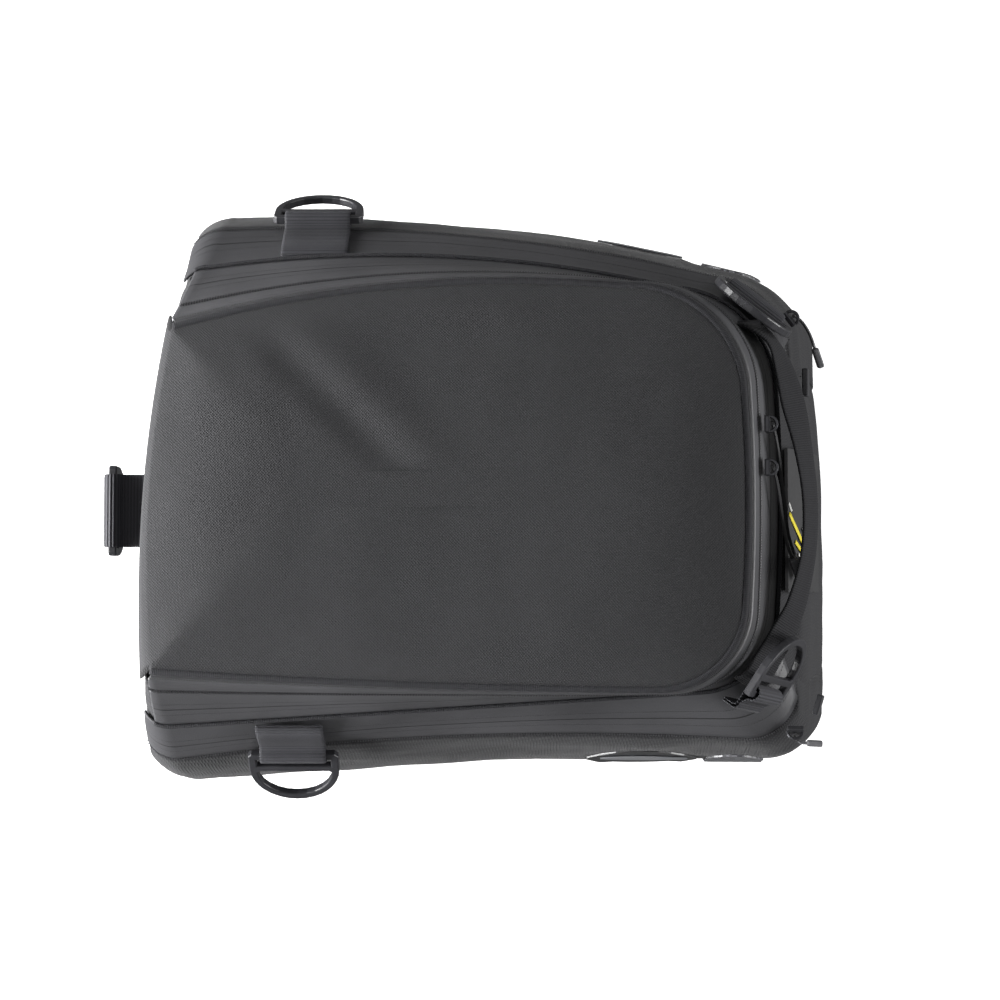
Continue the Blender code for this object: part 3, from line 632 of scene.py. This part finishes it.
def build_lid_inside():
    coarse = [1.0, 0.93, 0.85, 0.75, 0.64, 0.52, 0.38, 0.24, 0.08]
    foam = grid(lid_rows(3.6, -2.0, LID_RISE, coarse), closed=True, end_face=True)
    foam = add_piece("lid_padding", foam, "foam", "lid", ("lid_foam",))
    thicken(foam, FOAM_THICK)
    liner = grid(lid_rows(9.6, -1.5, 12.0, coarse), closed=True, end_face=True)
    liner = displaced(liner, rumple(0.03, 0.8))
    thicken(add_piece("lid_liner", liner, "lining", "lid", ("lid_lining",)), LINING_THICK)


def build_lid_edge():
    skirt = [ring(z, 0.0, 0.0, LID_RUN) for z in between(ZIP_Z + 0.9, LID_Z - LID_CORD_R - 1.2, 6)]
    # The tape turns in under the piping to meet the edge of the lid's cloth.
    turned_in = ((3.9, -2.0), (4.2, -4.0), (4.5, -6.0))
    skirt += [ring(LID_Z - drop, grow, 0.0, LID_RUN) for drop, grow in turned_in]
    tape = add_piece("lid_zip_tape_upper", grid(skirt), "coated_high", "lid", ("lid_zip_band_upper",))
    thicken(tape, TAPE_THICK)
    edge = [p - Vector((0, 0, LID_CORD_R)) for p in ring(LID_Z, -LID_CORD_R - 0.3, 0.0, LID_RUN)]
    cord("lid_piping_cord", even_path(edge, CORD_STEP), LID_CORD_R, "lid", ("lid_piping",))
    teeth("lid_zip_teeth_upper", ring(ZIP_Z + 0.75, 0.2, 0.0, LID_RUN), "lid")
    teeth("lid_zip_teeth_lower", ring(ZIP_Z - 0.55, 0.2, 0.0, LID_RUN), "bag")


# ---------------------------------------------------------------- body and pockets
def build_body_cloth():
    heights = between(3.4, LEDGE_Z - 0.5, 22)
    upper = between(LEDGE_Z, ZIP_Z - 0.6, 13)
    skin = [ring(z, 0.0, POCKET_DEPTH) for z in heights] + [ring(z, -2.4) for z in upper]
    sag = layered(
        rumple(0.016, 1.5, (1.0, 1.0, 2.2), 2.0),
        rumple(0.05, 0.5, (1.0, 1.0, 1.6), 5.0),
    )
    hem = lambda p: sag(p) * smooth((p.z - 4) / 14) * smooth((ZIP_Z - p.z) / 12)
    shell = add_piece("body_cloth", displaced(grid(skin, closed=True), hem), "fabric", "bag",
                      ("body_shell_lower", "body_shell_upper"))
    thicken(shell, BODY_CLOTH)


def build_inner_lining():
    deep = [(z, POCKET_DEPTH) for z in between(4.6, LEDGE_Z - 0.5, 12)]
    for z in between(LEDGE_Z, ZIP_Z - 0.8, 8):
        deep.append((z, POCKET_DEPTH * max(0.0, (SEAM_Z - z) / (SEAM_Z - LEDGE_Z))))
    inside = [ring(z, -6.0 if z < LEDGE_Z else -8.2, depth) for z, depth in deep]
    floor = [[Vector((p.x * s, p.y * s, INNER_FLOOR_Z)) for p in inside[0]] for s in (0.03, 0.3, 0.6, 0.9)]
    rows = floor + [[Vector((p.x, p.y, max(p.z, INNER_FLOOR_Z))) for p in row] for row in inside]
    made = displaced(grid(rows, closed=True), rumple(0.02, 1.4, (1, 1, 1.5), 9.0))
    liner = add_piece("inner_lining", made, "lining", "bag", ("lining",))
    thicken(liner, LINING_THICK)


def build_body_edge():
    band = [ring(z, 0.0, 0.0, LID_RUN) for z in between(SEAM_Z + 0.6, ZIP_Z - 0.9, 14)]
    held = lambda p: smooth((p.z - SEAM_Z - 4) / 5) * smooth((ZIP_Z - 2 - p.z) / 5)
    made = displaced(grid(band), lambda p: 0.5 * noise.noise(p * 0.03) * held(p))
    tape = add_piece("lid_zip_tape_lower", made, "coated_high", "bag", ("lid_zip_band_lower",))
    thicken(tape, TAPE_THICK)
    seam = even_path(ring(SEAM_Z, 0.7, 0.0, LID_RUN), CORD_STEP)
    cord("body_piping_cord", seam, BODY_CORD_R, "bag", ("body_piping",))


def build_pocket(side, kept):
    outer_z = between(5.0, LEDGE_Z - 1.0, 26)
    rows = []
    for z in outer_z:
        out = ring(z, 0.0, 0.0, kept)
        core = ring(z, 0.6, POCKET_DEPTH, kept)
        first = [core[0].lerp(out[0], t) for t in (0.0, 0.35, 0.7)]
        last = [out[-1].lerp(core[-1], t) for t in (0.3, 0.65, 1.0)]
        rows.append(first + out + last)
    sag = layered(
        rumple(0.014, 2.2, (0.8, 1.0, 2.6), 12.0),
        rumple(0.045, 0.8, (0.7, 1.0, 1.8), 17.0),
    )
    foot = rows[0]
    chord = [foot[0].lerp(foot[-1], k / (len(foot) - 1)) for k in range(len(foot))]
    floor = [[p.lerp(q, t) for p, q in zip(foot, chord)] for t in (0.95, 0.5, 0.2)]
    # The cloth is drawn tight round the rear corner, where the zip's pull runs over it.
    tight = lambda p: 1 - smooth((p.x - 90) / 30) * smooth((p.z - 84) / 14)
    sewn = lambda p: smooth((p.z - 6) / 16) * smooth((LEDGE_Z - 2 - p.z) / 14)
    hold = lambda p: sag(p) * tight(p) * sewn(p) - 0.4 - CORNER_TUCK * (1 - tight(p))
    made = displaced(grid(floor + rows), hold)
    thicken(add_piece("pocket_cloth_" + side, made, "fabric", "bag", ("side_pocket_" + side,)), POCKET_CLOTH)


def build_pocket_zip(side, kept):
    band = [ring(z, 0.0, 0.0, kept) for z in between(LEDGE_Z + 0.4, SEAM_Z - 0.6, 14)]
    held = lambda p: smooth((p.z - LEDGE_Z - 2) / 5) * smooth((SEAM_Z - 4 - p.z) / 5)
    made = displaced(grid(band), lambda p: 0.6 * noise.noise(p * 0.028) * held(p))
    tape = add_piece("pocket_tape_" + side, made, "coated_low", "bag", ("pocket_band_" + side,))
    thicken(tape, TAPE_THICK)
    teeth("pocket_zip_teeth_" + side, ring(LEDGE_Z - 0.2, 0.2, 0.0, kept), "bag")


# ---------------------------------------------------------------- webbing, handle and label
def build_ring_webbing():
    # The middle of the ring's bar, the bar's direction, the strap's run from it and the side it shows,
    # then the strap's length, the drop of its end and its width.
    rings = {
        "front_left": ((-106, 161.0, 121.5), (1, 0, 0), (0, -0.61, 0.79), (0, 0.79, 0.61), 31, 0, 38),
        "front_right": ((-119, -149.5, 121.8), (1, 0, 0), (0, 0.43, 0.90), (0, -0.90, 0.43), 27, 0, 38),
        "front_centre": ((-218, -10, 152), (0, 1, 0), (1, 0, 0), (0, 0, 1), 20, 0, 41),
        "rear_left": (
            (144.6, 107.3, 144.2), (0.79, -0.613, 0), (0.36, 0.46, -0.81), (0.49, 0.64, 0.59), 20, 0, 38,
        ),
        "rear_right": (
            (147, -113, 160), (0.46, -0.13, -0.88), (-0.51, -0.846, -0.142), (0.726, -0.514, 0.455),
            12, 7.5, 38,
        ),
    }
    for name, (at, bar, tail, out, length, drop, width) in rings.items():
        bar = Vector(bar).normalized()
        tail = Vector(tail)
        tail = (tail - bar * tail.dot(bar)).normalized()
        face = bar.cross(tail).normalized()
        if face.dot(Vector(out)) < 0:
            face = -face
        loop = [(length + 3.0, -6.4), (length - 1.0, -4.5)]
        if drop:
            loop = [(length - 1.0, -5.1 - drop), (length - 1.0, -7.0), (length - 2.4, -4.6)]
        loop += [(5.0, -4.3)]
        turns = [math.radians(a) for a in range(270, 9, -20)]
        loop += [(4.3 * math.cos(a), 4.3 * math.sin(a)) for a in turns]
        loop += [(5.2, -0.8), (7.6, -2.3), (10.5, -2.7), (length - 1.0, -2.9), (length + 3.4, -4.9)]
        if drop:
            loop[-2:] = [(length - 2.0, -2.8)]
            loop += [(length + 0.4, -4.4), (length + 0.5, -5.1 - drop)]
        path = [Vector(at) + tail * u + face * v for u, v in loop]
        path = even_path(smooth_path(path, 8), STRAP_STEP)
        webbing("webbing_" + name, path, bar, width, STRAP_THICK, "webbing", "bag", ("ring_loop_" + name,))


def build_handle():
    places = (
        (137, 96, 156), (143, 93, 161.5), (152, 85, 162), (159, 70, 160), (164.5, 50, 159), (170, 24, 159),
        (173.5, -4, 159), (172.5, -33, 159), (166, -61, 159), (157, -80, 159), (149, -94, 158),
        (143, -104, 158), (137, -107, 155),
    )
    lean = (
        (0.23, 0.30, -0.925), (0.23, 0.30, -0.925), (0.23, 0.30, -0.925), (0.45, 0.30, -0.84),
        (0.62, 0.12, -0.77), (0.52, 0, -0.85), (0.45, 0, -0.89), (0.45, 0, -0.89), (0.52, -0.1, -0.85),
        (0.58, -0.25, -0.77), (0.6, -0.3, -0.74), (0.6, -0.3, -0.74), (0.6, -0.3, -0.74),
    )
    spine = smooth_path(places, 48)
    leans = smooth_path(lean, 48)
    half = len(spine) // 2
    left = webbing(
        "handle_strap_left", spine[:half + 1], leans[:half + 1], HANDLE_WIDTH, HANDLE_THICK, "handle",
        nodes=("handle_tab_left", "carry_handle"), pitch=1.3, depth=0.25,
    )
    right = webbing(
        "handle_strap_right", spine[half:], leans[half:], HANDLE_WIDTH, HANDLE_THICK, "handle",
        nodes=("handle_tab_right",), pitch=1.3, depth=0.25,
    )
    joins = (
        (left, (150, 87, 162), (160, 66, 160)),
        (right, (151, -91, 159), (161, -71, 159)),
    )
    for piece, start, stop in joins:
        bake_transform(piece)


def rear_point(y, z, lift):
    """A point on the filled rear wall."""
    plan = ring(z)
    best = max((p for p in plan if abs(p.y - y) < 9), key=lambda p: p.x)
    return Vector((best.x + lift, y, z))


def stripe(name, start, stop, half, look):
    """A printed bar on the label, from one (y, z) to another."""
    a, b = Vector(start), Vector(stop)
    side = Vector((-(b - a).y, (b - a).x)).normalized() * half
    rows = []
    for shift in (-1, 1):
        row = []
        for k in range(9):
            place = a.lerp(b, k / 8) + side * shift
            row.append(rear_point(place.x, place.y, LABEL_LIFT))
        rows.append(row)
    made = grid(rows)
    bmesh.ops.recalc_face_normals(made, faces=made.faces)
    thicken(add_piece(name, made, look, "bag"), PRINT_THICK, offset=0.0)


def build_label():
    stripe("label_bar_long", (-11, 140), (-32, 117), 1.3, "yellow")
    stripe("label_bar_short", (-27, 132), (-35, 119), 1.2, "yellow")
    for i, (y, z) in enumerate(((-7.5, 139), (-21, 120), (-36, 126), (-41, 112))):
        stripe("label_tick_{}".format(i), (y + 2.2, z + 1.6), (y - 2.2, z - 2.2), 0.8, "white")


# ---------------------------------------------------------------- carried-over hard pieces
def show_grip(node):
    """Gives the moulded end of a pull a lighter look than its cord."""
    points = [v.co for v in node.data.vertices]
    middle = sum(points, Vector()) / len(points)
    tip = max(points, key=lambda p: (p - middle).length if p.z < middle.z else 0.0)
    node.data.materials.append(LOOKS["grip"])
    for face in node.data.polygons:
        if (face.center - tip).length < GRIP_REACH * MM:
            face.material_index = 1


def finish_hard():
    slots = {row["node"]: row["material_slot"] for row in frame["record"]["subparts"]}
    for name, node in NODES.items():
        look = LOOKS.get(slots[name], LOOKS["coated_high"])
        node.data.materials.clear()
        node.data.materials.append(look)
        if "_pull_" in name:
            show_grip(node)
        if not node.hide_render:
            node.data.shade_smooth()
            edge = node.modifiers.new("edge", "BEVEL")
            edge.width = EDGE_ROUND * MM
            edge.segments = 2
            edge.limit_method = "ANGLE"
            edge.angle_limit = math.radians(40)


# ---------------------------------------------------------------- studio
def build_floor():
    bpy.ops.mesh.primitive_plane_add(size=12, location=(0, 0, -0.0006))
    floor = bpy.context.object
    floor.name = "studio_floor"
    look, _, _, shader = tree_of("studio_white")
    shader.inputs["Base Color"].default_value = (0.93, 0.93, 0.93, 1)
    shader.inputs["Roughness"].default_value = 0.9
    shader.inputs["Specular IOR Level"].default_value = 0.0
    shader.inputs["Emission Color"].default_value = (1, 1, 1, 1)
    shader.inputs["Emission Strength"].default_value = 0.72
    floor.data.materials.append(look)
    floor.visible_diffuse = False
    floor.visible_glossy = False


def build_light():
    world = bpy.data.worlds.new("studio")
    bpy.context.scene.world = world
    world.use_nodes = True
    world.node_tree.nodes["Background"].inputs["Color"].default_value = (1, 1, 1, 1)
    world.node_tree.nodes["Background"].inputs["Strength"].default_value = 0.17
    lamps = (
        ("key_front", (-1.8, 0.0, 0.52), (1.0, 0.9), 110.0),
        ("corner_right", (-1.7, -1.0, 0.42), (0.7, 0.7), 44.0),
        ("corner_left", (-1.7, 1.0, 0.42), (0.7, 0.7), 26.0),
        ("fill_rear", (1.8, -0.20, 0.60), (1.2, 0.9), 38.0),
        ("top_soft", (-0.5, 0.1, 2.5), (1.6, 1.6), 5.0),
    )
    for name, place, size, power in lamps:
        data = bpy.data.lights.new(name, "AREA")
        data.shape = "RECTANGLE"
        data.size, data.size_y = size
        data.energy = power
        lamp = bpy.data.objects.new(name, data)
        bpy.context.scene.collection.objects.link(lamp)
        lamp.location = place
        lamp.rotation_euler = (Vector((0, 0, 0.1)) - Vector(place)).to_track_quat("-Z", "Y").to_euler()


def build_camera():
    data = bpy.data.cameras.new("camera")
    data.lens = CAMERA_LENS
    data.sensor_width = 36.0
    data.shift_y = -0.003
    data.clip_start = 0.01
    camera = bpy.data.objects.new("camera", data)
    bpy.context.scene.collection.objects.link(camera)
    target = Vector((0, 0, AIM_Z)) + SHIFT
    tilt = math.radians(CAMERA_TILT)
    place = target + CAMERA_AWAY * Vector((0, -math.sin(tilt), math.cos(tilt)))
    camera.location = place * MM
    camera.rotation_euler = (target - place).to_track_quat("-Z", "Y").to_euler()
    bpy.context.scene.camera = camera
    bpy.context.scene.view_settings.view_transform = "Standard"


build_lid_cover()
build_lid_inside()
build_lid_edge()
build_body_cloth()
build_inner_lining()
build_body_edge()
for side, kept in (("left", LEFT_SIDE), ("right", RIGHT_SIDE)):
    build_pocket(side, kept)
    build_pocket_zip(side, kept)
build_ring_webbing()
build_handle()
build_label()
finish_hard()
build_floor()
build_light()
build_camera()
